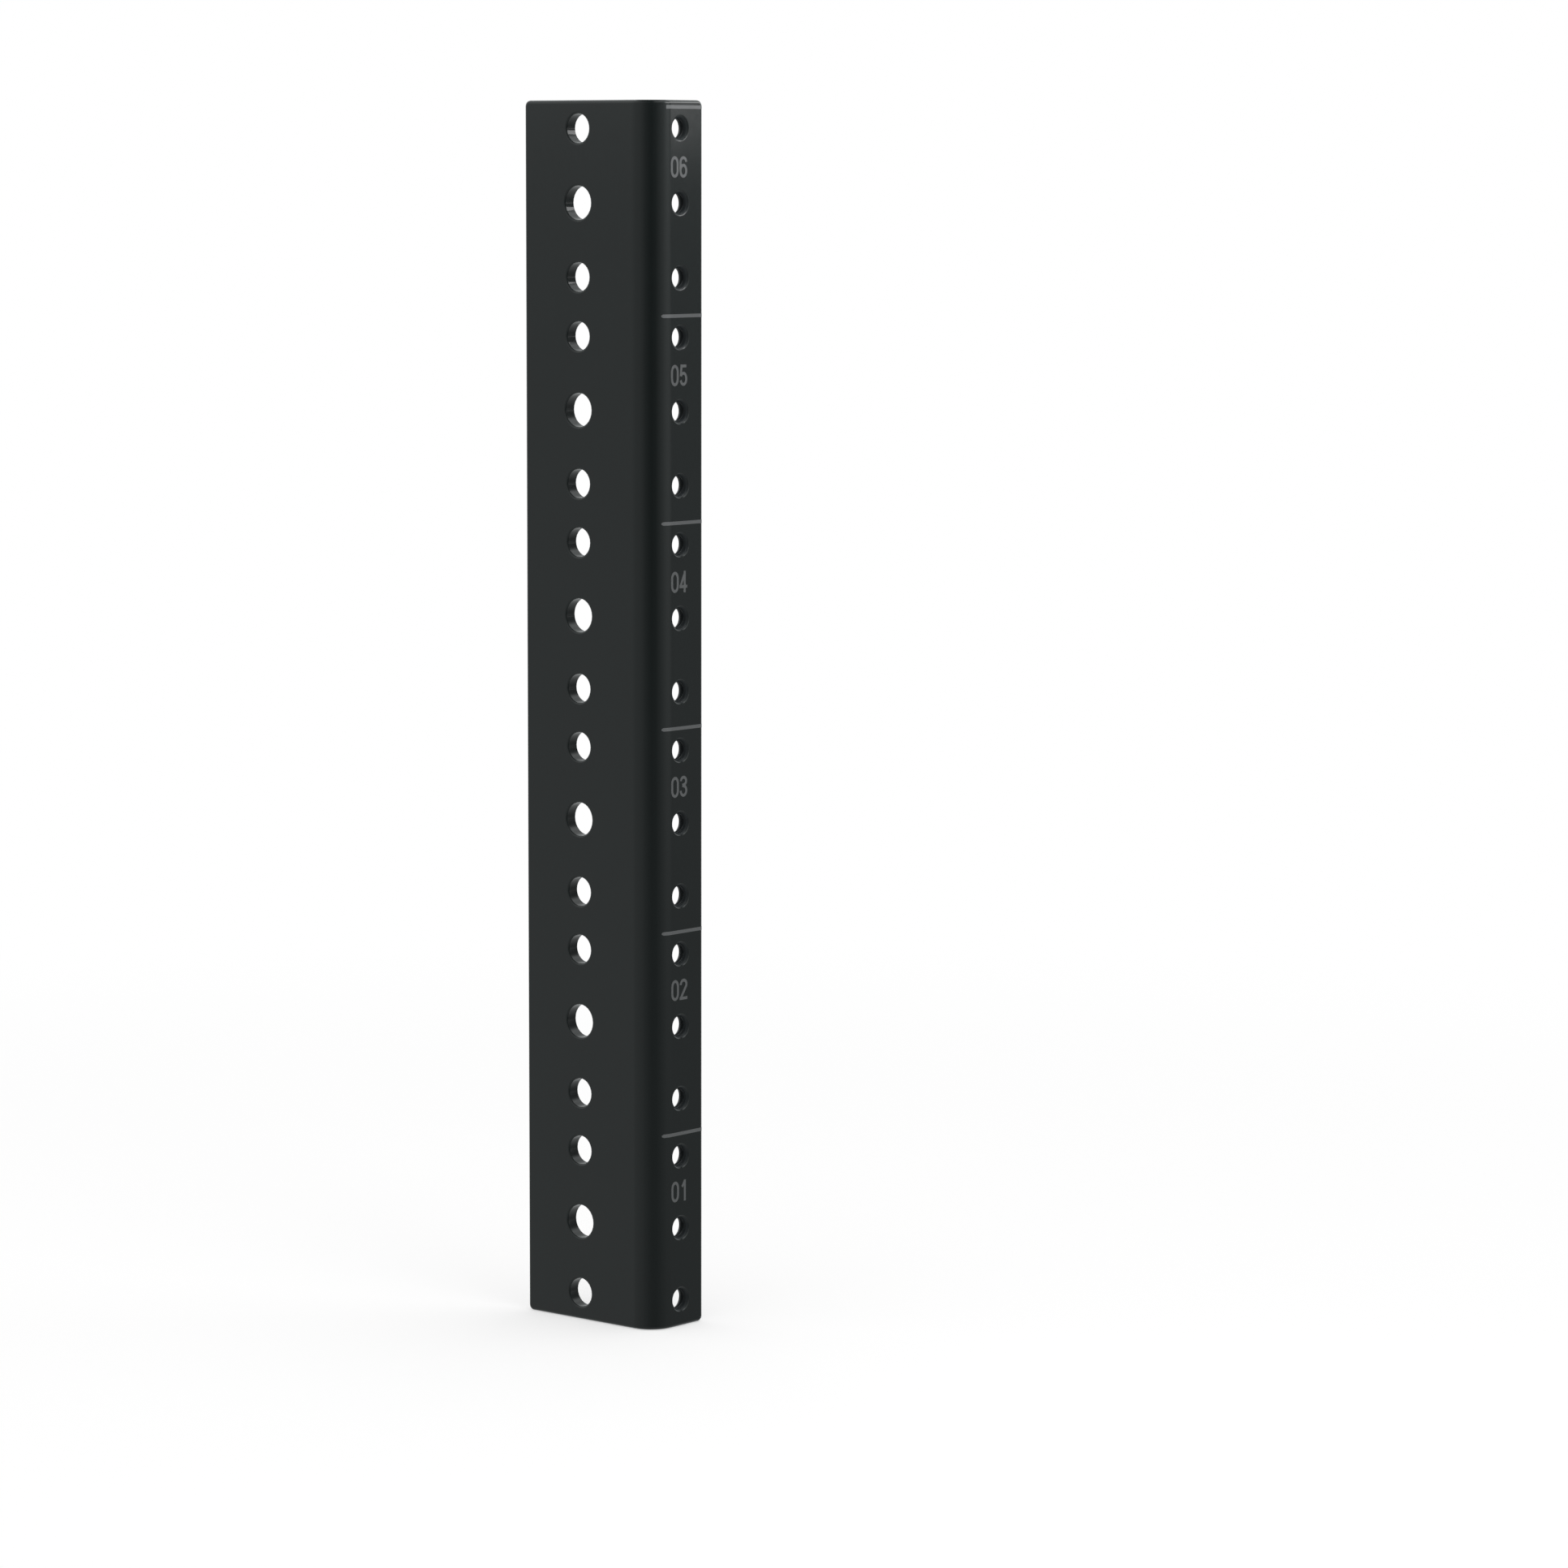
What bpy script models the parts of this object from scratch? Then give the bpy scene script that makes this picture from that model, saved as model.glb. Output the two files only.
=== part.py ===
"""Rack mounting rail: a bent and punched steel angle for six units of 19-inch equipment.

The rail stands on its end, with +Z along its length. Its narrow flange faces -Y and has the tapped
holes that equipment is screwed to. Its wide flange faces -X and has the plain holes that fasten the
rail to its cabinet. Lengths are in metres. The origin is under the middle of the rail's box.
"""

import math

import bpy
import bmesh
from mathutils import Euler, Vector

MM = 0.001

# Hole spacing: three holes to a rack unit, closer across the line between two units
UNITS = 6
HOLES_PER_UNIT = 3
HOLE_PITCH = 15.875 * MM
PITCH_ACROSS_UNITS = 12.7 * MM
END_MARGIN = 6.0 * MM

# Bent sheet, with its coat
SHEET = 2.85 * MM
WIDE_FLANGE = 37.0 * MM
NARROW_FLANGE = 16.3 * MM
BEND_INSIDE_RADIUS = 3.15 * MM
CORNER_RADIUS = 1.2 * MM
EDGE_RADIUS = 0.75 * MM

# Plain punched holes in the wide flange: the middle one of each unit is the larger
SMALL_HOLE = 6.35 * MM
LARGE_HOLE = 7.35 * MM
LARGE_HOLE_PLACE = 1
PUNCH_ROLL = 0.45 * MM
PUNCH_ROLL_DEPTH = 0.3 * MM
PUNCH_BACK_RIM = 0.08 * MM
PLAIN_HOLES_FROM_EDGE = 15.5 * MM

# Tapped holes in the narrow flange, at the thread's outside diameter
TAPPED_HOLE = 4.83 * MM
TAPPED_MOUTH = 5.4 * MM
TAPPED_LIP = 0.2 * MM
TAPPED_LIP_DEPTH = 0.06 * MM
TAPPED_HOLES_FROM_SIDE = 8.9 * MM

# Facets of the round stretches
BEND_STEPS = 12
CORNER_STEPS = 4
EDGE_STEPS = 3
PLAIN_HOLE_STEPS = 28
PUNCH_ROLL_STEPS = 3
TAPPED_HOLE_STEPS = 24
TOOL_OVERRUN = 0.5 * MM
MERGE_DISTANCE = 0.001 * MM
SHARP_ANGLE = math.radians(30)

BLACK_POWDER_COAT = (0.018, 0.020, 0.020, 1.0)

UNIT_HEIGHT = (HOLES_PER_UNIT - 1) * HOLE_PITCH + PITCH_ACROSS_UNITS
LENGTH = UNITS * UNIT_HEIGHT - PITCH_ACROSS_UNITS + 2 * END_MARGIN
BEND_OUTSIDE_RADIUS = BEND_INSIDE_RADIUS + SHEET
OUTER_CORNER = Vector((-NARROW_FLANGE / 2, -WIDE_FLANGE / 2, 0))


def clear_scene():
    """Remove what the scene holds, so that each run starts empty."""
    for old_object in list(bpy.data.objects):
        bpy.data.objects.remove(old_object, do_unlink=True)
    for old_collection in list(bpy.data.collections):
        bpy.data.collections.remove(old_collection)


def new_collection(name):
    """A collection linked to the scene."""
    collection = bpy.data.collections.new(name)
    bpy.context.scene.collection.children.link(collection)
    return collection


def powder_coat():
    """Satin black powder coat over the steel."""
    material = bpy.data.materials.new("black_powder_coat")
    material.use_nodes = True
    shader = material.node_tree.nodes["Principled BSDF"]
    shader.inputs["Base Color"].default_value = BLACK_POWDER_COAT
    shader.inputs["Roughness"].default_value = 0.5
    shader.inputs["Metallic"].default_value = 0.0
    return material


def section_line():
    """The section's outer line in plan, from the narrow flange's edge round the bend to the wide one's."""
    points = [Vector((NARROW_FLANGE, 0, 0))]
    for step in range(BEND_STEPS + 1):
        turn = math.pi / 2 * step / BEND_STEPS
        across = BEND_OUTSIDE_RADIUS * (1 - math.sin(turn))
        back = BEND_OUTSIDE_RADIUS * (1 - math.cos(turn))
        points.append(Vector((across, back, 0)))
    points.append(Vector((0, WIDE_FLANGE, 0)))
    return points


def outer_skin(name):
    """The rail's outer face as an open sheet, with the flanges' corners rounded."""
    sheet = bmesh.new()
    verts = [sheet.verts.new(point) for point in section_line()]
    edges = [sheet.edges.new(pair) for pair in zip(verts, verts[1:])]
    raised = bmesh.ops.extrude_edge_only(sheet, edges=edges)["geom"]
    top_verts = [item for item in raised if isinstance(item, bmesh.types.BMVert)]
    bmesh.ops.translate(sheet, verts=top_verts, vec=(0, 0, LENGTH))
    corners = [vert for vert in sheet.verts if len(vert.link_edges) == 2]
    bmesh.ops.bevel(
        sheet,
        geom=corners,
        offset=CORNER_RADIUS,
        offset_type="OFFSET",
        segments=CORNER_STEPS,
        profile=0.5,
        affect="VERTICES",
    )
    mesh = bpy.data.meshes.new(name)
    sheet.to_mesh(mesh)
    sheet.free()
    return mesh


def bent_rail(name, collection, material):
    """The bent sheet at full thickness, its edges rounded, before the holes."""
    mesh = outer_skin(name)
    mesh.materials.append(material)
    rail = bpy.data.objects.new(name, mesh)
    rail.location = OUTER_CORNER
    collection.objects.link(rail)

    thickness = rail.modifiers.new("sheet thickness", "SOLIDIFY")
    thickness.thickness = SHEET
    thickness.offset = -1
    thickness.use_even_offset = True

    rounding = rail.modifiers.new("rounded edges", "BEVEL")
    rounding.width = EDGE_RADIUS
    rounding.segments = EDGE_STEPS
    rounding.limit_method = "ANGLE"
    rounding.angle_limit = math.radians(60)
    return rail


def punched_hole_profile(bore):
    """Half section of a tool for a punched hole: its rim rolled in outside, all but sharp inside."""
    radius = bore / 2
    outer_face = -SHEET / 2
    inner_face = SHEET / 2
    rim = []
    for step in range(PUNCH_ROLL_STEPS):
        turn = math.pi / 2 * step / PUNCH_ROLL_STEPS
        rim_radius = radius + PUNCH_ROLL * (1 - math.cos(turn))
        rim_depth = PUNCH_ROLL_DEPTH * (1 - math.sin(turn))
        rim.append((rim_radius, outer_face + rim_depth))
    mouth_radius = radius + PUNCH_ROLL
    overshoot_radius = mouth_radius + (mouth_radius - rim_radius) / 3
    return [
        (0, inner_face + TOOL_OVERRUN),
        (radius + PUNCH_BACK_RIM + TOOL_OVERRUN, inner_face + TOOL_OVERRUN),
        (radius, inner_face - PUNCH_BACK_RIM),
        *rim,
        (overshoot_radius, outer_face - rim_depth / 3),
        (overshoot_radius, outer_face - TOOL_OVERRUN),
        (0, outer_face - TOOL_OVERRUN),
    ]


def tapped_hole_profile():
    """Half section of a tool for a tapped bore: 45 degree mouths, the outer one with a soft lip."""
    radius = TAPPED_HOLE / 2
    mouth_radius = TAPPED_MOUTH / 2
    flare = mouth_radius - radius
    outer_face = SHEET / 2
    inner_face = -SHEET / 2
    overshoot_radius = mouth_radius + TAPPED_LIP * 4 / 3
    return [
        (0, outer_face + TOOL_OVERRUN),
        (overshoot_radius, outer_face + TOOL_OVERRUN),
        (overshoot_radius, outer_face + TAPPED_LIP_DEPTH / 3),
        (mouth_radius, outer_face - TAPPED_LIP_DEPTH),
        (radius, outer_face - TAPPED_LIP_DEPTH - flare),
        (radius, inner_face + flare),
        (mouth_radius + TOOL_OVERRUN, inner_face - TOOL_OVERRUN),
        (0, inner_face - TOOL_OVERRUN),
    ]


def tool_row(name, collection, profile, steps, first_place, turn):
    """One tool for each unit: a turned profile, repeated up the rail from its first place."""
    mesh = bpy.data.meshes.new(name)
    points = [(radius, 0, height) for radius, height in profile]
    lines = [(start, start + 1) for start in range(len(points) - 1)]
    mesh.from_pydata(points, lines, [])
    tool = bpy.data.objects.new(name, mesh)
    tool.location = first_place
    tool.rotation_euler = turn
    tool.display_type = "WIRE"
    tool.hide_render = True
    collection.objects.link(tool)

    turned = tool.modifiers.new("turned", "SCREW")
    turned.steps = steps
    turned.render_steps = steps
    turned.use_merge_vertices = True
    turned.merge_threshold = MERGE_DISTANCE

    repeated = tool.modifiers.new("one for each unit", "ARRAY")
    repeated.count = UNITS
    repeated.use_relative_offset = False
    repeated.use_constant_offset = True
    unit_step = turn.to_matrix().inverted() @ Vector((0, 0, UNIT_HEIGHT))
    repeated.constant_offset_displace = unit_step
    return tool


def hole_tools(collection):
    """The tools of both flanges, a row for each hole of a unit."""
    along_x = Euler((0, math.pi / 2, 0))
    along_y = Euler((math.pi / 2, 0, 0))
    for place in range(HOLES_PER_UNIT):
        height = END_MARGIN + place * HOLE_PITCH
        number = place + 1
        bore = LARGE_HOLE if place == LARGE_HOLE_PLACE else SMALL_HOLE
        plain_place = Vector((SHEET / 2, WIDE_FLANGE - PLAIN_HOLES_FROM_EDGE, height))
        tool_row(
            f"plain_hole_tools_{number}", collection, punched_hole_profile(bore), PLAIN_HOLE_STEPS,
            OUTER_CORNER + plain_place, along_x,
        )
        tapped_place = Vector((TAPPED_HOLES_FROM_SIDE, SHEET / 2, height))
        tool_row(
            f"tapped_hole_tools_{number}", collection, tapped_hole_profile(), TAPPED_HOLE_STEPS,
            OUTER_CORNER + tapped_place, along_y,
        )


def cut_holes(rail, tools):
    """Take every tool in the collection out of the rail."""
    holes = rail.modifiers.new("holes", "BOOLEAN")
    holes.operation = "DIFFERENCE"
    holes.operand_type = "COLLECTION"
    holes.collection = tools


def set_shading(rail):
    """Keep the finished shape as the rail's mesh, smooth round the bend and the holes."""
    view_layer = bpy.context.view_layer
    view_layer.update()
    finished = rail.evaluated_get(view_layer.depsgraph)
    mesh = bpy.data.meshes.new_from_object(finished)
    mesh.name = rail.name
    rail.modifiers.clear()
    rail.data = mesh
    mesh.shade_smooth()
    mesh.set_sharp_from_angle(angle=SHARP_ANGLE)


def main():
    """Build the rail."""
    clear_scene()
    parts = new_collection("rack_mounting_rail")
    tools = new_collection("hole_tools")
    rail = bent_rail("punched_angle", parts, powder_coat())
    hole_tools(tools)
    cut_holes(rail, tools)
    set_shading(rail)


main()
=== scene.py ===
"""Looks of a rack mounting rail: powder coat, screw threads, printed unit marks and a plain studio."""

import math

import bmesh
import bpy
from mathutils import Euler, Matrix, Vector


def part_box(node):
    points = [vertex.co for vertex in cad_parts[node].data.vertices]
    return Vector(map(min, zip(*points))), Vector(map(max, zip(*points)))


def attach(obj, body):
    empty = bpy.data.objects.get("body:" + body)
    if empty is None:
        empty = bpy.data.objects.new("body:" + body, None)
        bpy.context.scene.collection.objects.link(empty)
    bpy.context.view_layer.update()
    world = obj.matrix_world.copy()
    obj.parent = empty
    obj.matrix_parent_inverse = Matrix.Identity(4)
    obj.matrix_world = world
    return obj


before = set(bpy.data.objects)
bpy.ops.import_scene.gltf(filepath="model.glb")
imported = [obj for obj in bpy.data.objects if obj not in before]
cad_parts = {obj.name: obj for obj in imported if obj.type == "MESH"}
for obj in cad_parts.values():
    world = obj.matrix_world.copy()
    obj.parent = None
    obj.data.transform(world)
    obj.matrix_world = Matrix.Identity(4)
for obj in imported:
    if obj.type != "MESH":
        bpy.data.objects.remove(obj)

bl_info = {
    "name": "Rack mounting rail looks",
    "version": (1, 0, 0),
    "blender": (4, 5, 0),
    "location": "3D View > Sidebar > Rack rail",
    "description": "Coats, threads and marks a rack mounting rail and sets it in a plain studio",
    "category": "Object",
}

MM = 0.001
INCH = 25.4 * MM
WHITE = (1, 1, 1, 1)
BODY = "root"
RAIL_NODE = "punched_angle"

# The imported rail's box and the sharp outer corner of its section
BOX_LOW, BOX_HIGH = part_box(RAIL_NODE)
SECTION_CORNER = Vector((BOX_LOW.x, BOX_LOW.y, 0))
NARROW_FLANGE = BOX_HIGH.x - BOX_LOW.x

# Rack spacing, measured up from the rail's foot
UNITS = 6
UNIT_HEIGHT = 44.45 * MM
HOLE_PITCH = 15.875 * MM
HOLES_PER_UNIT = 3
FIRST_HOLE = 6.0 * MM

# Coated sheet
SHEET = 2.85 * MM
BEND_RADIUS = 6.0 * MM
EDGE_RADIUS = 0.75 * MM
TAPPED_HOLES_FROM_SIDE = 8.9 * MM
TAPPED_MOUTH = 5.4 * MM
TAPPED_LIP_DEPTH = 0.06 * MM

# Facets of the rail and the thread: what is merged, what counts as flat, and what is shaded round
MERGE_DISTANCE = 0.001 * MM
FLAT_WITHIN = math.radians(1)
ROUND_WITHIN = math.radians(44)

# Darkest and palest share of the coat's and the ink's colour
COAT_SHADES = (0.9, 1.12)
INK_SHADES = (0.86, 1.12)

# The range that a noise texture keeps to for the most part
NOISE_RANGE = (0.3, 0.7)

# The coat's faint clouds, the height and strength of its low waves, and how far its roughness drifts
CLOUD_SIZE = 14 * MM
WAVE_HEIGHT = 0.002 * MM
WAVE_STRENGTH = 0.3
ROUGHNESS_DRIFT = 0.01

# The coat in the threads, painted paler to lift the holes' shade, and the ink: the sizes of their uneven
# spots
THREAD_SPOT_SIZE = 0.3 * MM
MOTTLE_SIZE = 0.5 * MM

# Refraction of paint and ink
PAINT_IOR = 1.5

# Places of a mix node's sockets: two colours and their mix, and two plain values and theirs
COLOUR_SOCKETS = (6, 7)
MIXED_COLOUR = 2
VALUE_SOCKETS = (2, 3)
MIXED_VALUE = 0

# Rows of the thread's surface in one turn of it, and steps round the hole
THREAD_ROWS = 8
THREAD_STEPS = 48

# How the thread runs out towards the mouths, and how its ring lies against the metal behind it
THREAD_RUNOUT_SLOPE = 0.6
MOUTH_LEFT_BARE = 0.1 * MM
THREAD_OFF_METAL = 0.03 * MM
THREAD_INTO_METAL = 0.05 * MM
THREAD_BACK_FROM_MOUTH = 0.06 * MM

# The marks are printed from the top down, at a spacing a little short of the holes'
MARK_PITCH = 44.35 * MM
LINE_ABOVE_TOP_HOLE = 4.5 * MM
NUMBER_BELOW_TOP_HOLE = 8.2 * MM
NUMBER_FROM_SIDE = 8.45 * MM
DIGIT_SPACING = 2.8 * MM

# How far the unit lines follow the bend and the free edge, in how many steps, and their narrower start
LINE_ROUND_BEND = math.radians(26)
TOP_LINE_ROUND_BEND = math.radians(14.3)
LINE_ROUND_EDGE = math.radians(70)
LINE_BEND_STEPS = 6
LINE_EDGE_STEPS = 5
LINE_TIP = 0.6 * MM
LINE_TIP_SHARE = 0.45

# Digits, in millimetres: how far the middle of their strokes reaches, and how far the ends run past it
DIGIT_HALF_WIDTH = 0.93
DIGIT_HALF_HEIGHT = 1.97
STEM_OVERRUN = 0.36
BAR_OVERRUN = 0.3
ARC_STEPS = 16
ROUND_STEPS = 32

# Light that the coat mirrors: compass degrees from -X through -Y, and the strength in that direction
HIGH_MIRRORED = (
    (0, 1.1), (24, 0.5), (44, 0.25), (60, 0.4), (85, 0.8), (102, 1.4), (114, 3.0), (122, 3.2), (129, 1.9),
    (135, 0.5), (140, 0.35), (147, 0.6), (155, 1.6), (165, 2.0), (176, 1.6), (190, 1.15), (205, 0.9),
    (235, 0.8), (270, 1.8), (320, 1.6), (360, 1.1),
)
HORIZON_MIRRORED = (
    (0, 0.82), (24, 0.35), (44, 0.12), (62, 0.2), (75, 0.5), (90, 0.85), (108, 1.2), (120, 1.2),
    (132, 0.85), (142, 0.43), (180, 0.5), (205, 0.6), (225, 0.7), (270, 0.9), (320, 0.92), (360, 0.82),
)
FLOOR_MIRRORED = (
    (0, 0.8), (24, 0.55), (44, 0.38), (64, 0.38), (85, 0.5), (108, 0.62), (134, 0.5), (142, 0.43),
    (180, 0.5), (205, 0.55), (225, 0.7), (270, 0.9), (320, 0.95), (360, 0.8),
)
UNDERFOOT_MIRRORED = 0.17
CEILING_MIRRORED = 0.04
MIRRORED_MOST = 5.0
MIRRORED_TINT = (0.96, 1, 1, 1)

# Heights between which one band of that light gives way to the next, from -1 straight down to 1 straight up
UNDERFOOT_TO_FLOOR = (-0.7, -0.22)
FLOOR_TO_HORIZON = (-0.2, -0.03)
HORIZON_TO_HIGH = (0.005, 0.03)
HIGH_TO_CEILING = (0.84, 0.95)

# Floor: a disc just under the rail's foot, that fades to plain white between two distances from the rail
FLOOR_RADIUS = 0.9
FLOOR_SIDES = 96
FLOOR_DROP = 0.05 * MM
FLOOR_FADE = (0.25, 0.6)
FLOOR_PAINT = (0.6, 0.6, 0.6, 1)
FLOOR_GLOW = 0.5

# Area lights: place, the point that each faces, width and height, and the spread that its grid leaves
FRONT_SOFTBOX = ((-0.1, -0.68, 1.0), (0, 0, 0.13), (0.5, 0.5), math.pi)
FAR_STRIP = ((0.827, -0.898, 0.288), (-0.082, -0.108, 0.262), (0.282, 0.05), math.radians(16))
LOW_CARD = ((0.048, -0.067, 0.293), (0, -0.0185, 0.266), (0.072, 0.034), math.pi)

# Camera: width of its film in millimetres, and the distances between which it sees
FILM_WIDTH = 36
SEES_FROM = 0.05
SEES_TO = 20


def linear_colour(code):
    """A colour written as an sRGB hex code, as linear red, green and blue."""
    channels = [int(code[start:start + 2], 16) / 255 for start in (0, 2, 4)]
    return tuple(
        value / 12.92 if value <= 0.04045 else ((value + 0.055) / 1.055) ** 2.4
        for value in channels
    )


def add_node(tree, kind, settings=None, values=None, links=None):
    """Add a node to a tree, with its settings, its sockets' values and what feeds them."""
    made = tree.nodes.new(kind)
    for name, value in (settings or {}).items():
        setattr(made, name, value)
    for socket, value in (values or {}).items():
        made.inputs[socket].default_value = value
    for socket, source in (links or {}).items():
        tree.links.new(source, made.inputs[socket])
    return made


class CoatSettings(bpy.types.PropertyGroup):
    """The powder coat's colour and surface."""

    colour: bpy.props.FloatVectorProperty(
        name="Coat colour",
        description="Colour of the powder coat",
        subtype="COLOR",
        size=3,
        min=0,
        max=1,
        default=linear_colour("151a1a"),
    )
    roughness: bpy.props.FloatProperty(
        name="Roughness",
        description="How far the coat blurs what it reflects",
        subtype="FACTOR",
        min=0,
        max=1,
        default=0.11,
    )
    peel_size: bpy.props.FloatProperty(
        name="Orange peel",
        description="Distance between the low waves of the coat",
        subtype="DISTANCE",
        unit="LENGTH",
        default=1.2 * MM,
    )


class ThreadSettings(bpy.types.PropertyGroup):
    """The screw thread in the tapped holes."""

    outside: bpy.props.FloatProperty(
        name="Outside diameter",
        description="Diameter at the bottom of the thread's groove",
        subtype="DISTANCE",
        unit="LENGTH",
        default=4.83 * MM,
    )
    inside: bpy.props.FloatProperty(
        name="Inside diameter",
        description="Diameter between the thread's crests",
        subtype="DISTANCE",
        unit="LENGTH",
        default=4.1 * MM,
    )
    filled: bpy.props.FloatProperty(
        name="Coat in the groove",
        description="Thickness of the coat at the bottom of the thread's groove",
        subtype="DISTANCE",
        unit="LENGTH",
        default=0.2 * MM,
    )
    threads_per_inch: bpy.props.IntProperty(
        name="Threads to an inch",
        description="How many turns of the thread there are along an inch",
        default=32,
    )


class MarkSettings(bpy.types.PropertyGroup):
    """The printed unit lines and numbers."""

    colour: bpy.props.FloatVectorProperty(
        name="Ink colour",
        description="Colour of the printed marks",
        subtype="COLOR",
        size=3,
        min=0,
        max=1,
        default=linear_colour("5c5e5f"),
    )
    stroke: bpy.props.FloatProperty(
        name="Stroke",
        description="Width of the numbers' strokes",
        subtype="DISTANCE",
        unit="LENGTH",
        default=0.64 * MM,
    )
    line_width: bpy.props.FloatProperty(
        name="Line width",
        description="Width of a unit line",
        subtype="DISTANCE",
        unit="LENGTH",
        default=0.76 * MM,
    )
    ink: bpy.props.FloatProperty(
        name="Ink height",
        description="How far the ink stands off the coat",
        subtype="DISTANCE",
        unit="LENGTH",
        default=0.04 * MM,
    )


class StudioSettings(bpy.types.PropertyGroup):
    """Floor, light and camera."""

    fill: bpy.props.FloatProperty(
        name="Fill light",
        description="Strength of the even light from all sides",
        default=0.75,
    )
    softbox_power: bpy.props.FloatProperty(
        name="Softbox",
        description="Power of the softbox over the tapped flange",
        unit="POWER",
        default=1.5,
    )
    strip_power: bpy.props.FloatProperty(
        name="Far strip",
        description="Power of the strip light behind a grid that the tapped flange's top mirrors",
        unit="POWER",
        default=0.000807,
    )
    card_power: bpy.props.FloatProperty(
        name="Small card",
        description="Power of the small lit card beside the rail's top edge",
        unit="POWER",
        default=0.042,
    )
    lens: bpy.props.FloatProperty(
        name="Lens",
        description="Focal length of the camera",
        subtype="DISTANCE_CAMERA",
        default=123.65,
    )
    camera_place: bpy.props.FloatVectorProperty(
        name="Camera place",
        description="Where the camera stands",
        subtype="TRANSLATION",
        unit="LENGTH",
        size=3,
        default=(-872.13 * MM, -777.22 * MM, 252.25 * MM),
    )
    camera_turn: bpy.props.FloatVectorProperty(
        name="Camera turn",
        description="Azimuth, height angle and roll of the camera",
        subtype="EULER",
        unit="ROTATION",
        size=3,
        default=(math.radians(-50.11), math.radians(6.556), math.radians(0.106)),
    )


def new_material(name):
    """An empty node material, with its tree and its output node."""
    material = bpy.data.materials.new(name)
    material.use_nodes = True
    tree = material.node_tree
    tree.nodes.clear()
    output = add_node(tree, "ShaderNodeOutputMaterial")
    return material, tree, output


def noise(tree, size, detail, roughness):
    """An uneven texture fixed to the object, by the size of its spots."""
    place = add_node(tree, "ShaderNodeTexCoord")
    made = add_node(
        tree,
        "ShaderNodeTexNoise",
        values={"Scale": 1 / size, "Detail": detail, "Roughness": roughness},
        links={"Vector": place.outputs["Object"]},
    )
    return made.outputs["Fac"]


def uneven_colour(tree, texture, dark, pale):
    """A colour that drifts with a texture between a darker and a paler one."""
    first, second = COLOUR_SOCKETS
    mixed = add_node(
        tree,
        "ShaderNodeMix",
        settings={"data_type": "RGBA"},
        values={first: (*dark, 1), second: (*pale, 1)},
        links={0: texture},
    )
    return mixed.outputs[MIXED_COLOUR]


def shades(colour, shares):
    """A colour's darkest and palest shade."""
    return [[value * share for value in colour] for share in shares]


def set_surface(tree, output, values, links):
    """Put a paint or ink on a material's surface."""
    shader = add_node(
        tree,
        "ShaderNodeBsdfPrincipled",
        values={"Metallic": 0.0, "IOR": PAINT_IOR, **values},
        links=links,
    )
    tree.links.new(shader.outputs["BSDF"], output.inputs["Surface"])


def powder_coat_material(settings):
    """Polyester powder coat, sprayed and baked on steel.

    It gives the eye a deep, even black with a satin sheen, broken by a low orange peel.
    """
    material, tree, output = new_material("satin_black_powder_coat")
    peel = noise(tree, settings.peel_size, 2.0, 0.45)
    cloud = noise(tree, CLOUD_SIZE, 3.0, 0.55)
    dark, pale = shades(settings.colour, COAT_SHADES)
    sheen = add_node(
        tree,
        "ShaderNodeMapRange",
        values={
            "From Min": NOISE_RANGE[0],
            "From Max": NOISE_RANGE[1],
            "To Min": settings.roughness - ROUGHNESS_DRIFT,
            "To Max": settings.roughness + ROUGHNESS_DRIFT,
        },
        links={"Value": peel},
    )
    waves = add_node(
        tree,
        "ShaderNodeBump",
        values={"Strength": WAVE_STRENGTH, "Distance": WAVE_HEIGHT},
        links={"Height": peel},
    )
    set_surface(
        tree,
        output,
        values={"Specular IOR Level": 0.25},
        links={
            "Base Color": uneven_colour(tree, cloud, dark, pale),
            "Roughness": sheen.outputs["Result"],
            "Normal": waves.outputs["Normal"],
        },
    )
    return material


def thread_material():
    """Steel thread under a thin coat, painted paler than the faces to lift the deep shade in the holes.

    It gives the eye a softer and slightly paler black than the faces, with no clear reflection.
    """
    material, tree, output = new_material("thread_coat_painted_paler_for_shade")
    thread_spots = noise(tree, THREAD_SPOT_SIZE, 3.0, 0.6)
    # Both colours are paler than the coat on the faces: painted light that lifts the deep shade in the
    # holes
    colour = uneven_colour(tree, thread_spots, linear_colour("212526"), linear_colour("2c3032"))
    set_surface(
        tree,
        output,
        values={"Roughness": 0.42, "Specular IOR Level": 0.12},
        links={"Base Color": colour},
    )
    return material


def ink_material(settings):
    """Screen-printed epoxy ink, cured on the coat.

    It gives the eye a flat mid grey, a little uneven where the screen laid less of it.
    """
    material, tree, output = new_material("screen_printed_grey_ink")
    mottle = noise(tree, MOTTLE_SIZE, 2.0, 0.6)
    dark, pale = shades(settings.colour, INK_SHADES)
    set_surface(
        tree,
        output,
        values={"Roughness": 0.14, "Specular IOR Level": 0.5},
        links={"Base Color": uneven_colour(tree, mottle, dark, pale)},
    )
    return material


def by_ray(tree, share, others, chosen):
    """A mix of two shaders: the second for the share of rays that is chosen, the first for the others."""
    mixed = add_node(tree, "ShaderNodeMixShader", links={0: share, 1: others, 2: chosen})
    return mixed.outputs[0]


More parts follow.
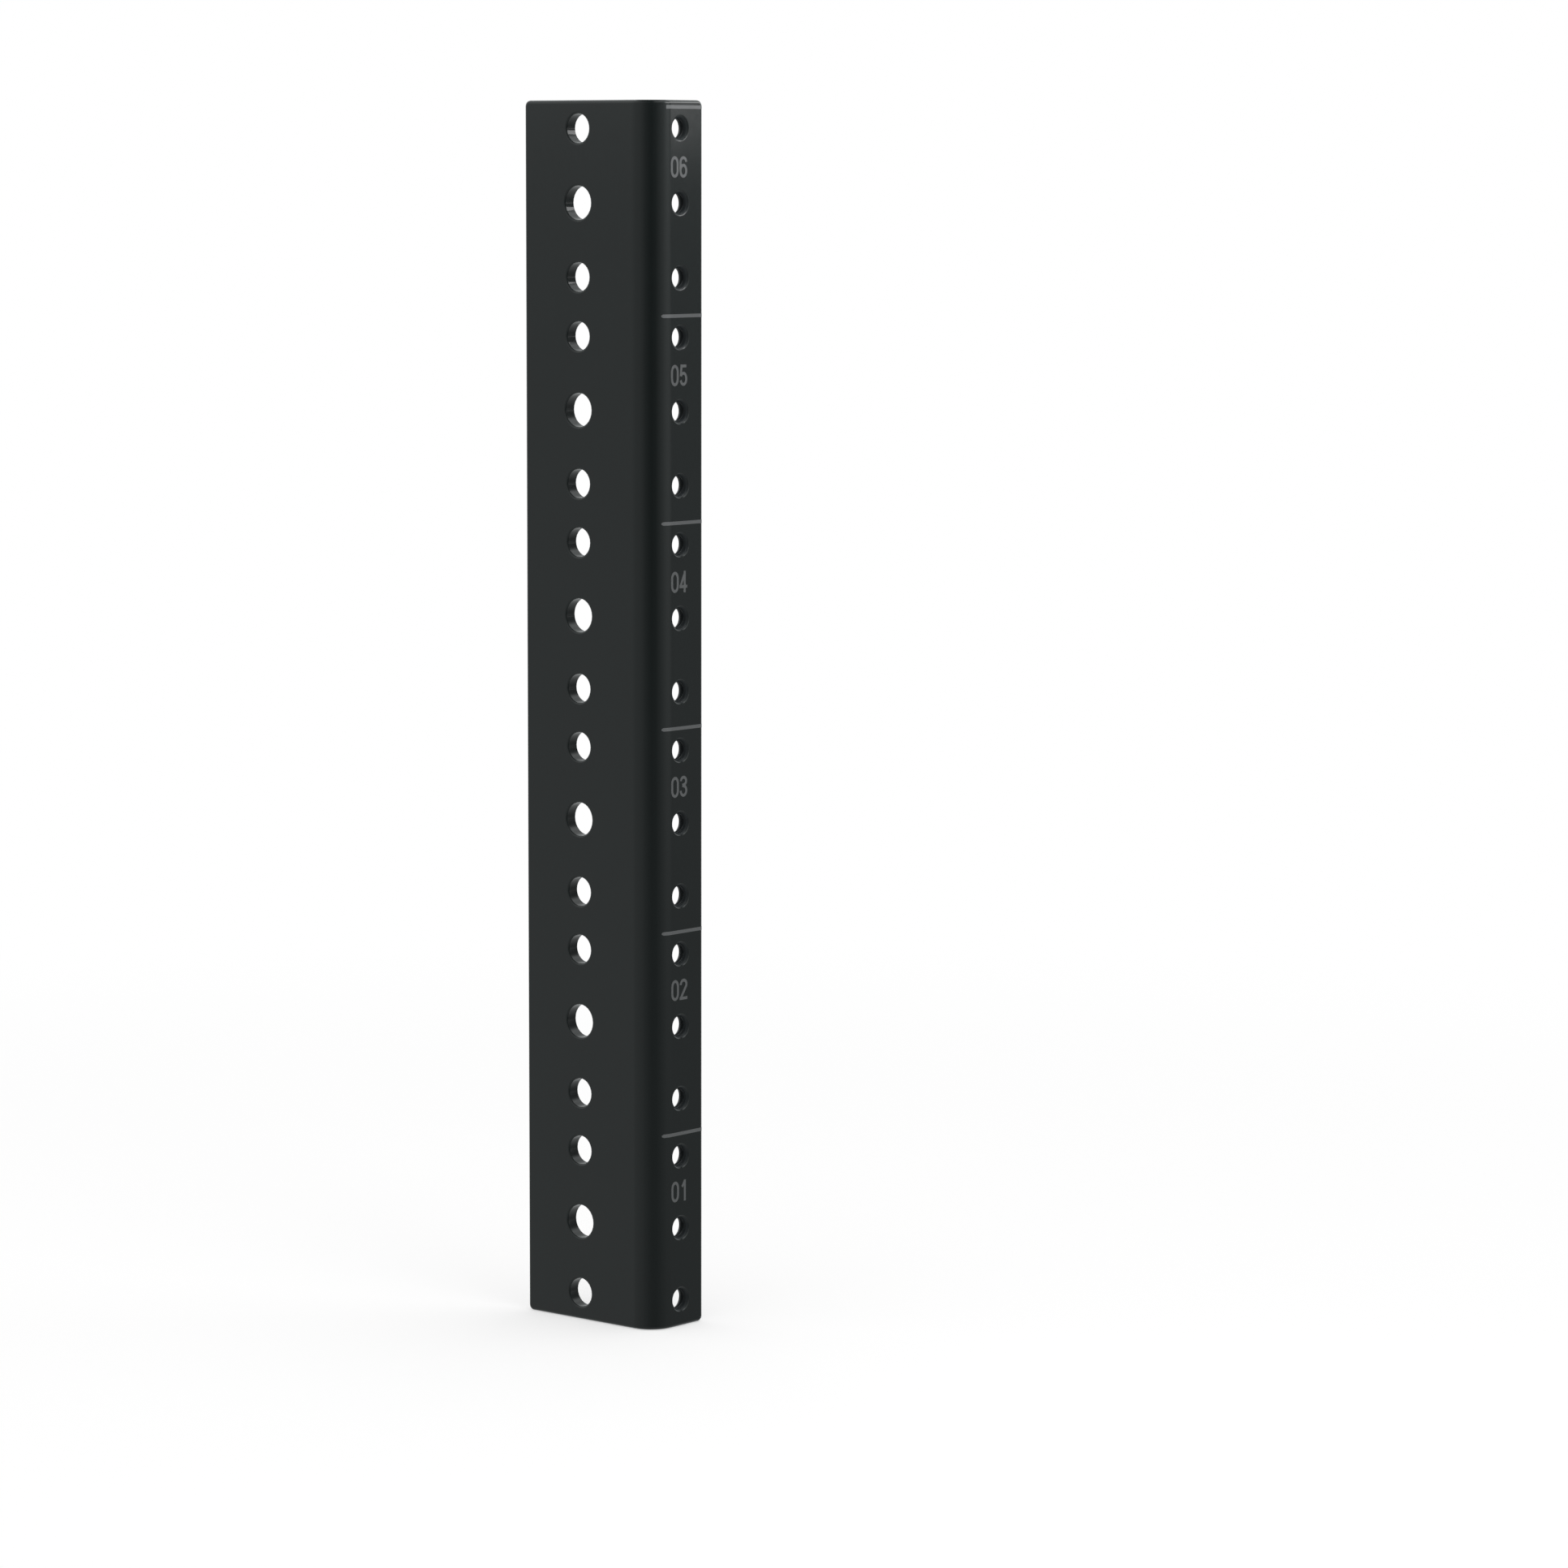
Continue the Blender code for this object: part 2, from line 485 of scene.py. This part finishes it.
def floor_material():
    """Matt white floor paint.

    It gives the eye plain white away from the rail, and a pale ground with a soft shadow next to it.
    """
    material, tree, output = new_material("matt_white_floor")
    path = add_node(tree, "ShaderNodeLightPath")
    paint = add_node(tree, "ShaderNodeBsdfDiffuse", values={"Color": FLOOR_PAINT})
    lit = add_node(tree, "ShaderNodeEmission", values={"Color": WHITE, "Strength": FLOOR_GLOW})
    near = add_node(tree, "ShaderNodeAddShader", links={0: paint.outputs[0], 1: lit.outputs[0]})
    white = add_node(tree, "ShaderNodeEmission", values={"Color": WHITE, "Strength": 1.0})
    place = add_node(tree, "ShaderNodeTexCoord")
    away = add_node(
        tree,
        "ShaderNodeVectorMath",
        settings={"operation": "LENGTH"},
        links={0: place.outputs["Object"]},
    )
    edge = add_node(
        tree,
        "ShaderNodeMapRange",
        settings={"interpolation_type": "SMOOTHSTEP"},
        values={"From Min": FLOOR_FADE[0], "From Max": FLOOR_FADE[1], "To Min": 0.0, "To Max": 1.0},
        links={"Value": away.outputs["Value"]},
    )
    seen = by_ray(tree, edge.outputs["Result"], near.outputs[0], white.outputs[0])
    surface = by_ray(tree, path.outputs["Is Camera Ray"], paint.outputs[0], seen)
    tree.links.new(surface, output.inputs["Surface"])
    return material


def smooth_by_angle_group(angle):
    """A node group that smooths a mesh and keeps only its true edges sharp."""
    group = bpy.data.node_groups.new("smooth_round_faces", "GeometryNodeTree")
    group.interface.new_socket("Mesh", in_out="INPUT", socket_type="NodeSocketGeometry")
    group.interface.new_socket("Mesh", in_out="OUTPUT", socket_type="NodeSocketGeometry")
    start = add_node(group, "NodeGroupInput")
    plain = add_node(
        group,
        "GeometryNodeRemoveAttribute",
        values={"Name": "custom_normal"},
        links={"Geometry": start.outputs[0]},
    )
    smooth = add_node(
        group,
        "GeometryNodeSetShadeSmooth",
        settings={"domain": "FACE"},
        values={"Shade Smooth": True},
        links={"Geometry": plain.outputs[0]},
    )
    bend = add_node(group, "GeometryNodeInputMeshEdgeAngle")
    sharp = add_node(
        group,
        "FunctionNodeCompare",
        settings={"data_type": "FLOAT", "operation": "GREATER_THAN"},
        values={1: angle},
        links={0: bend.outputs["Unsigned Angle"]},
    )
    edged = add_node(
        group,
        "GeometryNodeSetShadeSmooth",
        settings={"domain": "EDGE"},
        values={"Shade Smooth": False},
        links={"Geometry": smooth.outputs[0], "Selection": sharp.outputs[0]},
    )
    add_node(group, "NodeGroupOutput", links={0: edged.outputs[0]})
    return group


def finish_mesh(name, shape):
    """The mesh of a bmesh, with its normals facing out."""
    bmesh.ops.recalc_face_normals(shape, faces=shape.faces)
    mesh = bpy.data.meshes.new(name)
    shape.to_mesh(mesh)
    shape.free()
    return mesh


def bar_mesh(name, sections, closed=False):
    """A bar from its sections of four corners, open with two ends or closed to a ring."""
    shape = bmesh.new()
    corners = [[shape.verts.new(point) for point in section] for section in sections]
    pairs = list(zip(corners, corners[1:]))
    if closed:
        pairs.append((corners[-1], corners[0]))
    for near, far in pairs:
        for corner in range(4):
            following = (corner + 1) % 4
            shape.faces.new((near[corner], near[following], far[following], far[corner]))
    if not closed:
        shape.faces.new(corners[0])
        shape.faces.new(corners[-1])
    return finish_mesh(name, shape)


def add_piece(name, mesh, place, turn=(0, 0, 0)):
    """A piece that rides on the rail's body, placed from the foot of the section's outer corner."""
    piece = bpy.data.objects.new(name, mesh)
    piece.location = SECTION_CORNER + Vector(place)
    piece.rotation_euler = turn
    bpy.context.scene.collection.objects.link(piece)
    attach(piece, BODY)
    return piece


class RAIL_OT_coat(bpy.types.Operator):
    """Give the rail its powder coat and smooth its round faces."""

    bl_idname = "rail.coat"
    bl_label = "Powder-coat the rail"

    def execute(self, context):
        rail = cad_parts[RAIL_NODE]
        rail.data.materials.clear()
        rail.data.materials.append(powder_coat_material(context.scene.rail_coat))
        joined = rail.modifiers.new("joined triangles", "WELD")
        joined.merge_threshold = MERGE_DISTANCE
        flat = rail.modifiers.new("whole flat faces", "DECIMATE")
        flat.decimate_type = "DISSOLVE"
        flat.angle_limit = FLAT_WITHIN
        smoothing = rail.modifiers.new("smooth round faces", "NODES")
        smoothing.node_group = smooth_by_angle_group(ROUND_WITHIN)
        flats = rail.modifiers.new("true flats", "WEIGHTED_NORMAL")
        flats.keep_sharp = True
        return {"FINISHED"}


def thread_radius(share, crest, root):
    """Radius at a share of the pitch from the middle of a crest, rounded as coat rounds a thread."""
    return crest + (root - crest) * (1 - math.cos(2 * math.pi * share)) / 2


def thread_line(settings, turn):
    """Radius and height of the thread's surface from mouth to mouth, at a share of a turn."""
    pitch = INCH / settings.threads_per_inch
    bore = settings.outside / 2
    crest = settings.inside / 2
    root = bore - settings.filled
    mouth = TAPPED_MOUTH / 2
    end = SHEET / 2 - (mouth - bore)
    lip = mouth - MOUTH_LEFT_BARE
    rows = round(2 * end / pitch * THREAD_ROWS)
    line = []
    for row in range(rows + 1):
        height = -end + 2 * end * row / rows
        share = (height + end) / pitch - turn
        runout = bore - THREAD_OFF_METAL - THREAD_RUNOUT_SLOPE * (end - abs(height))
        line.append((max(thread_radius(share, crest, root), runout), height))
    covered = lip - bore
    low_mouth = (lip - THREAD_OFF_METAL, -end - covered)
    high_mouth = (lip - THREAD_OFF_METAL, end - TAPPED_LIP_DEPTH + covered)
    high_start = (bore - THREAD_OFF_METAL, end - TAPPED_LIP_DEPTH)
    line = [(radius, height) for radius, height in line if height < high_start[1]]
    return [low_mouth, *line, high_start, high_mouth]


def thread_mesh(settings):
    """One tapped hole's thread as a ring: its helix inside, a plain wall in the metal, round local Z."""
    shape = bmesh.new()
    rings = []
    for step in range(THREAD_STEPS):
        angle = 2 * math.pi * step / THREAD_STEPS
        line = thread_line(settings, step / THREAD_STEPS)
        inside_metal = [
            (line[-1][0] + THREAD_INTO_METAL, line[-1][1] - THREAD_BACK_FROM_MOUTH),
            (line[0][0] + THREAD_INTO_METAL, line[0][1] + THREAD_BACK_FROM_MOUTH),
        ]
        rings.append([
            shape.verts.new((radius * math.cos(angle), radius * math.sin(angle), height))
            for radius, height in line + inside_metal
        ])
    for near, far in zip(rings, rings[1:] + rings[:1]):
        for row in range(len(near)):
            following = (row + 1) % len(near)
            shape.faces.new((near[row], near[following], far[following], far[row]))
    mesh = finish_mesh("screw_thread", shape)
    mesh.shade_smooth()
    mesh.set_sharp_from_angle(angle=ROUND_WITHIN)
    return mesh


class RAIL_OT_threads(bpy.types.Operator):
    """Add the screw thread in each tapped hole."""

    bl_idname = "rail.threads"
    bl_label = "Add the screw threads"

    def execute(self, context):
        mesh = thread_mesh(context.scene.rail_thread)
        mesh.materials.append(thread_material())
        for unit in range(UNITS):
            for place in range(HOLES_PER_UNIT):
                height = FIRST_HOLE + unit * UNIT_HEIGHT + place * HOLE_PITCH
                thread = add_piece(
                    f"thread_unit_{unit + 1}_hole_{place + 1}",
                    mesh,
                    (TAPPED_HOLES_FROM_SIDE, SHEET / 2, height),
                    turn=(math.pi / 2, 0, 0),
                )
        return {"FINISHED"}


def line_path(round_bend):
    """Points and outward directions of a unit line, from its start on the bend to the free edge."""
    path = []
    for step in range(LINE_BEND_STEPS + 1):
        turn = round_bend * (1 - step / LINE_BEND_STEPS)
        outward = Vector((-math.sin(turn), -math.cos(turn), 0))
        centre = Vector((BEND_RADIUS, BEND_RADIUS, 0))
        path.append((centre + outward * BEND_RADIUS, outward))
    for step in range(LINE_EDGE_STEPS + 1):
        turn = LINE_ROUND_EDGE * step / LINE_EDGE_STEPS
        outward = Vector((math.sin(turn), -math.cos(turn), 0))
        centre = Vector((NARROW_FLANGE - EDGE_RADIUS, EDGE_RADIUS, 0))
        path.append((centre + outward * EDGE_RADIUS, outward))
    return path


def line_mesh(name, settings, round_bend, tip):
    """A unit line: a strip of ink that follows the bend, the flange and its rounded edge."""
    sections = []
    path = line_path(round_bend)
    run = 0.0
    for number, (point, outward) in enumerate(path):
        if number:
            run += (point - path[number - 1][0]).length
        near_tip = min(run / tip, 1) if tip else 1
        rounded = math.sqrt(1 - (1 - near_tip) ** 2)
        half = settings.line_width / 2 * (LINE_TIP_SHARE + (1 - LINE_TIP_SHARE) * rounded)
        sections.append([
            point + outward * depth + Vector((0, 0, side * half))
            for depth, side in (
                (settings.ink, -1), (settings.ink, 1), (-settings.ink, 1), (-settings.ink, -1),
            )
        ])
    return bar_mesh(name, sections)


def marked_top_hole(unit):
    """Height that the marks of a unit take for its top hole, counted down from the rail's top unit."""
    top_hole = FIRST_HOLE + (UNITS - 1) * UNIT_HEIGHT + (HOLES_PER_UNIT - 1) * HOLE_PITCH
    return top_hole - (UNITS - 1 - unit) * MARK_PITCH


class RAIL_OT_unit_lines(bpy.types.Operator):
    """Print the line at the top of each rack unit."""

    bl_idname = "rail.unit_lines"
    bl_label = "Print the unit lines"

    def execute(self, context):
        settings = context.scene.rail_marks
        plain = line_mesh("unit_line", settings, LINE_ROUND_BEND, LINE_TIP)
        top = line_mesh("top_unit_line", settings, TOP_LINE_ROUND_BEND, 0)
        ink = ink_material(settings)
        for mesh in (plain, top):
            mesh.materials.append(ink)
        for unit in range(UNITS):
            mesh = top if unit == UNITS - 1 else plain
            height = marked_top_hole(unit) + LINE_ABOVE_TOP_HOLE
            add_piece(f"unit_line_{unit + 1}", mesh, (0, 0, height))
        return {"FINISHED"}


def arc(centre, reach, start, end, steps=ARC_STEPS):
    """Points of an upright ellipse's arc, by its centre, half width and height, and angles in degrees."""
    angles = [math.radians(start + (end - start) * step / steps) for step in range(steps + 1)]
    return [
        (centre[0] + reach[0] * math.cos(angle), centre[1] + reach[1] * math.sin(angle))
        for angle in angles
    ]


def digit_strokes(digit):
    """The pen strokes of a digit, in millimetres from its middle."""
    side, top = DIGIT_HALF_WIDTH, DIGIT_HALF_HEIGHT
    cap = top + STEM_OVERRUN
    if digit == "0":
        over = arc((0, 0.75), (side, top - 0.75), 0, 180)
        under = arc((0, -0.75), (side, top - 0.75), 180, 360)
        return [[*over, *under, over[0]]]
    if digit == "1":
        return [[(0.38, cap), (0.38, -cap)], [(0.42, 2.2), (-0.1, 1.35), (-0.55, 0.85)]]
    if digit == "2":
        hook = arc((0, 1.05), (side, top - 1.05), 185, -25)
        return [[*hook, (-0.95, -1.95)], [(-0.95 - STEM_OVERRUN, -top), (side + BAR_OVERRUN, -top)]]
    if digit == "3":
        upper = arc((-0.02, 1.15), (0.86, top - 1.15), 178, -90)
        lower = arc((-0.02, -0.94), (side, top - 0.94), 90, -182)
        return [[*upper, (-0.4, 0.21)], [(-0.4, 0.21), *lower]]
    if digit == "4":
        return [
            [(0.4, cap), (0.4, -cap)],
            [(0.4, top - 0.1), (-1.0, -1.05)],
            [(-1.3, -1.05), (side + BAR_OVERRUN, -1.05)],
        ]
    if digit == "5":
        bowl = arc((0, -0.765), (side, top - 0.765), 150, -165)
        return [[(0.95, top), (-0.95, top)], [(-0.62, cap), (-0.84, -0.2)], bowl]
    if digit == "6":
        hook = arc((0, 1.0), (side, top - 1.0), 5, 180)
        bowl = arc((0, -0.795), (side, top - 0.795), 0, 360, steps=ROUND_STEPS)
        return [[*hook, (-side, -0.795)], bowl]
    raise ValueError(f"no strokes are drawn for {digit}")


def stroke_solid(points, settings):
    """One pen stroke as a flat bar of ink, standing off the plane of its points."""
    closed = points[0] == points[-1]
    line = [Vector((across * MM, 0, up * MM)) for across, up in points]
    if closed:
        line.pop()
    count = len(line)
    sections = []
    for number, point in enumerate(line):
        before = line[number - 1] if number or closed else point
        after = line[(number + 1) % count] if number < count - 1 or closed else point
        along = (after - before).normalized()
        aside = Vector((-along.z, 0, along.x)) * settings.stroke / 2
        sections.append([
            point + aside * side + Vector((0, depth, 0))
            for side, depth in (
                (-1, -settings.ink), (1, -settings.ink), (1, settings.ink), (-1, settings.ink),
            )
        ])
    return bar_mesh("stroke", sections, closed)


def joined_strokes(name, strokes, settings):
    """The strokes of a number, joined into one mesh with nothing inside it."""
    solids = []
    for place, points in strokes:
        solid = bpy.data.objects.new("stroke", stroke_solid(points, settings))
        solid.location.x = place
        bpy.context.scene.collection.objects.link(solid)
        solids.append(solid)
    base = solids[0]
    for other in solids[1:]:
        union = base.modifiers.new("union", "BOOLEAN")
        union.operation = "UNION"
        union.object = other
    bpy.context.view_layer.update()
    base_evaluated = base.evaluated_get(bpy.context.evaluated_depsgraph_get())
    mesh = bpy.data.meshes.new_from_object(base_evaluated)
    mesh.transform(Matrix.Translation(base.location))
    mesh.name = name
    for solid in solids:
        bpy.data.objects.remove(solid)
    return mesh


class RAIL_OT_unit_numbers(bpy.types.Operator):
    """Print the number of each rack unit between its upper two holes."""

    bl_idname = "rail.unit_numbers"
    bl_label = "Print the unit numbers"

    def execute(self, context):
        settings = context.scene.rail_marks
        ink = ink_material(settings)
        for unit in range(UNITS):
            text = f"{unit + 1:02d}"
            strokes = []
            for number, digit in enumerate(text):
                place = (number - 0.5) * DIGIT_SPACING
                strokes += [(place, points) for points in digit_strokes(digit)]
            mesh = joined_strokes(f"unit_number_{text}", strokes, settings)
            mesh.materials.clear()
            mesh.materials.append(ink)
            height = marked_top_hole(unit) - NUMBER_BELOW_TOP_HOLE
            add_piece(f"unit_number_{text}", mesh, (NUMBER_FROM_SIDE, 0, height))
        return {"FINISHED"}


def mirrored_band(tree, compass, stops):
    """The light of one band of the room by compass direction, as a share of the most."""
    ramp = add_node(tree, "ShaderNodeValToRGB", links={"Fac": compass})
    marks = ramp.color_ramp.elements
    marks.remove(marks[1])
    for number, (degrees, strength) in enumerate(stops):
        mark = marks.new(degrees / 360) if number else marks[0]
        mark.position = degrees / 360
        mark.color = (*[strength / MIRRORED_MOST] * 3, 1)
    return ramp.outputs["Color"]


def blend_by_height(tree, height, heights, below, above):
    """One value under a height and another over it, with an even change between two heights."""
    low, high = heights
    share = add_node(
        tree,
        "ShaderNodeMapRange",
        settings={"interpolation_type": "SMOOTHSTEP"},
        values={"From Min": low, "From Max": high},
        links={"Value": height},
    )
    mixed = add_node(
        tree,
        "ShaderNodeMix",
        settings={"data_type": "FLOAT"},
        links={0: share.outputs["Result"]},
    )
    for socket, value in zip(VALUE_SOCKETS, (below, above)):
        if isinstance(value, float):
            mixed.inputs[socket].default_value = value
        else:
            tree.links.new(value, mixed.inputs[socket])
    return mixed.outputs[MIXED_VALUE]


def mirrored_room(tree):
    """Strength of the light that the coat mirrors, by direction.

    High up it is dark round the camera, and in a gap between two bright panels that the rail mirrors.
    """
    place = add_node(tree, "ShaderNodeTexCoord")
    parts = add_node(tree, "ShaderNodeSeparateXYZ", links={0: place.outputs["Generated"]})
    angle = add_node(
        tree,
        "ShaderNodeMath",
        settings={"operation": "ARCTAN2"},
        links={0: parts.outputs["Y"], 1: parts.outputs["X"]},
    )
    compass = add_node(
        tree,
        "ShaderNodeMapRange",
        values={"From Min": -math.pi, "From Max": math.pi},
        links={"Value": angle.outputs[0]},
    ).outputs["Result"]
    height = parts.outputs["Z"]
    high = mirrored_band(tree, compass, HIGH_MIRRORED)
    horizon = mirrored_band(tree, compass, HORIZON_MIRRORED)
    floor = mirrored_band(tree, compass, FLOOR_MIRRORED)
    room = blend_by_height(tree, height, UNDERFOOT_TO_FLOOR, UNDERFOOT_MIRRORED, floor)
    room = blend_by_height(tree, height, FLOOR_TO_HORIZON, room, horizon)
    room = blend_by_height(tree, height, HORIZON_TO_HIGH, room, high)
    room = blend_by_height(tree, height, HIGH_TO_CEILING, room, CEILING_MIRRORED)
    strength = add_node(
        tree,
        "ShaderNodeMath",
        settings={"operation": "MULTIPLY"},
        values={1: MIRRORED_MOST},
        links={0: room},
    )
    return strength.outputs[0]


def studio_world(settings):
    """Even fill light, a white backdrop to the camera, and a room for the coat to mirror."""
    world = bpy.data.worlds.new("studio")
    world.use_nodes = True
    bpy.context.scene.world = world
    tree = world.node_tree
    tree.nodes.clear()
    output = add_node(tree, "ShaderNodeOutputWorld")
    path = add_node(tree, "ShaderNodeLightPath")
    fill = add_node(
        tree,
        "ShaderNodeBackground",
        values={"Color": WHITE, "Strength": settings.fill},
    )
    mirrored = add_node(
        tree,
        "ShaderNodeBackground",
        values={"Color": MIRRORED_TINT},
        links={"Strength": mirrored_room(tree)},
    )
    white = add_node(tree, "ShaderNodeBackground", values={"Color": WHITE, "Strength": 1.0})
    lighting = by_ray(tree, path.outputs["Is Glossy Ray"], fill.outputs[0], mirrored.outputs[0])
    clear = by_ray(tree, path.outputs["Is Transmission Ray"], lighting, white.outputs[0])
    seen = by_ray(tree, path.outputs["Is Camera Ray"], clear, white.outputs[0])
    tree.links.new(seen, output.inputs["Surface"])


def add_softbox(name, setup, power):
    """An oblong area light by its place, the point it faces, its size and its grid's spread."""
    place, aim, size, spread = setup
    light = bpy.data.lights.new(name, "AREA")
    light.shape = "RECTANGLE"
    light.size, light.size_y = size
    light.energy = power
    light.spread = spread
    box = bpy.data.objects.new(name, light)
    box.location = place
    box.rotation_euler = (Vector(place) - Vector(aim)).to_track_quat("Z", "Y").to_euler()
    box.visible_camera = False
    bpy.context.scene.collection.objects.link(box)


def add_camera(settings):
    """The camera at the photograph's viewing angle."""
    camera = bpy.data.cameras.new("camera")
    camera.lens = settings.lens
    camera.sensor_width = FILM_WIDTH
    camera.dof.use_dof = False
    camera.clip_start = SEES_FROM
    camera.clip_end = SEES_TO
    holder = bpy.data.objects.new("camera", camera)
    azimuth, elevation, roll = settings.camera_turn
    turn = Euler((math.pi / 2 - elevation, 0, azimuth)).to_matrix() @ Matrix.Rotation(roll, 3, "Z")
    holder.matrix_world = Matrix.Translation(settings.camera_place) @ turn.to_4x4()
    bpy.context.scene.collection.objects.link(holder)
    bpy.context.scene.camera = holder


class RAIL_OT_studio(bpy.types.Operator):
    """Set the rail on a plain pale floor, in soft light, before the camera."""

    bl_idname = "rail.studio"
    bl_label = "Set up the studio"

    def execute(self, context):
        settings = context.scene.rail_studio
        context.scene.view_settings.view_transform = "Standard"
        studio_world(settings)
        shape = bmesh.new()
        bmesh.ops.create_circle(shape, cap_ends=True, segments=FLOOR_SIDES, radius=FLOOR_RADIUS)
        floor = bpy.data.objects.new("floor", finish_mesh("floor", shape))
        floor.location.z = -FLOOR_DROP
        floor.data.materials.append(floor_material())
        context.scene.collection.objects.link(floor)
        floor.visible_glossy = False
        add_softbox("front_softbox", FRONT_SOFTBOX, settings.softbox_power)
        add_softbox("far_strip", FAR_STRIP, settings.strip_power)
        add_softbox("low_card", LOW_CARD, settings.card_power)
        add_camera(settings)
        return {"FINISHED"}


class RAIL_PT_looks(bpy.types.Panel):
    """The rail's looks in the sidebar."""

    bl_label = "Rack mounting rail"
    bl_idname = "RAIL_PT_looks"
    bl_space_type = "VIEW_3D"
    bl_region_type = "UI"
    bl_category = "Rack rail"

    def draw(self, context):
        scene = context.scene
        for settings, operators in (
            (scene.rail_coat, ("rail.coat",)),
            (scene.rail_thread, ("rail.threads",)),
            (scene.rail_marks, ("rail.unit_lines", "rail.unit_numbers")),
            (scene.rail_studio, ("rail.studio",)),
        ):
            box = self.layout.box()
            for name in settings.__annotations__:
                box.prop(settings, name)
            for operator in operators:
                box.operator(operator)


GROUPS = {
    "rail_coat": CoatSettings,
    "rail_thread": ThreadSettings,
    "rail_marks": MarkSettings,
    "rail_studio": StudioSettings,
}
OPERATORS = (RAIL_OT_coat, RAIL_OT_threads, RAIL_OT_unit_lines, RAIL_OT_unit_numbers, RAIL_OT_studio)


def register():
    """Add the classes and the scene's settings."""
    for kind in (*GROUPS.values(), *OPERATORS, RAIL_PT_looks):
        bpy.utils.register_class(kind)
    for name, group in GROUPS.items():
        setattr(bpy.types.Scene, name, bpy.props.PointerProperty(type=group))


def unregister():
    """Take the classes and the scene's settings away again."""
    for name in GROUPS:
        delattr(bpy.types.Scene, name)
    for kind in (RAIL_PT_looks, *reversed(OPERATORS), *GROUPS.values()):
        bpy.utils.unregister_class(kind)


def main():
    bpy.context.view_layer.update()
    register()
    bpy.ops.rail.coat()
    bpy.ops.rail.threads()
    bpy.ops.rail.unit_lines()
    bpy.ops.rail.unit_numbers()
    bpy.ops.rail.studio()


if __name__ == "__main__":
    main()
